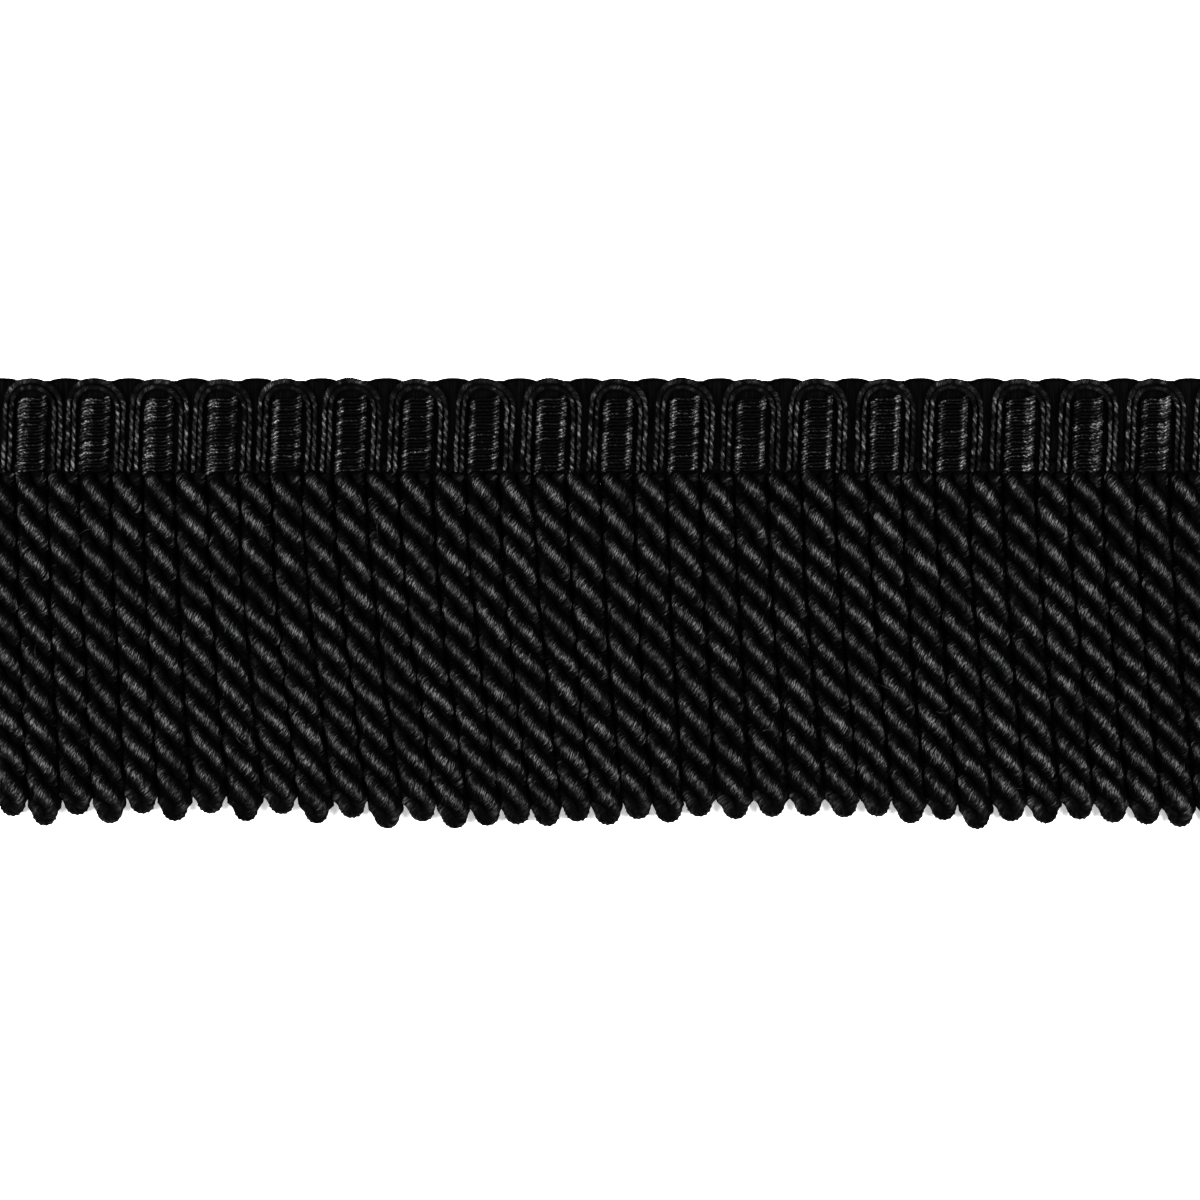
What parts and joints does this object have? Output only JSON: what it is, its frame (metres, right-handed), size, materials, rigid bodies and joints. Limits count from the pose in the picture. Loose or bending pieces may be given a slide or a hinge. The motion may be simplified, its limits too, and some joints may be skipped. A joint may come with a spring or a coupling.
{
  "type": "bullion fringe",
  "caption": "Length of black bullion fringe: looped twisted cords under a heading of gimp arches around ribbed panels, to sew or glue along an edge.",
  "frame": {"origin": "on the back of the heading, half way up it, near the middle of the length; z = 0 is the surface the fringe lies on", "axes": "+X along the trim, +Y up its face from the loop ends to the scallops, +Z out of its face"},
  "size_m": [0.2221, 0.0789, 0.0053],
  "materials": {
    "ground": "matt black woven ground",
    "gimp": "black wrapped gimp, low sheen",
    "rib": "black ribbed thread, soft shine",
    "cord": "black twisted yarn, soft matt"
  },
  "bodies": {
    "root": {"heading_back": "ground", "bullion_skirt": "cord", "gimp_arch_01": "gimp", "gimp_arch_02": "gimp", "gimp_arch_03": "gimp", "gimp_arch_04": "gimp", "gimp_arch_05": "gimp", "gimp_arch_06": "gimp", "gimp_arch_07": "gimp", "gimp_arch_08": "gimp", "gimp_arch_09": "gimp", "gimp_arch_10": "gimp", "gimp_arch_11": "gimp", "gimp_arch_12": "gimp", "gimp_arch_13": "gimp", "gimp_arch_14": "gimp", "gimp_arch_15": "gimp", "gimp_arch_16": "gimp", "gimp_arch_17": "gimp", "gimp_arch_18": "gimp", "gimp_arch_19": "gimp", "rib_panel_01": "rib", "rib_panel_02": "rib", "rib_panel_03": "rib", "rib_panel_04": "rib", "rib_panel_05": "rib", "rib_panel_06": "rib", "rib_panel_07": "rib", "rib_panel_08": "rib", "rib_panel_09": "rib", "rib_panel_10": "rib", "rib_panel_11": "rib", "rib_panel_12": "rib", "rib_panel_13": "rib", "rib_panel_14": "rib", "rib_panel_15": "rib", "rib_panel_16": "rib", "rib_panel_17": "rib", "rib_panel_18": "rib", "rib_panel_19": "rib"}
  },
  "joints": []
}
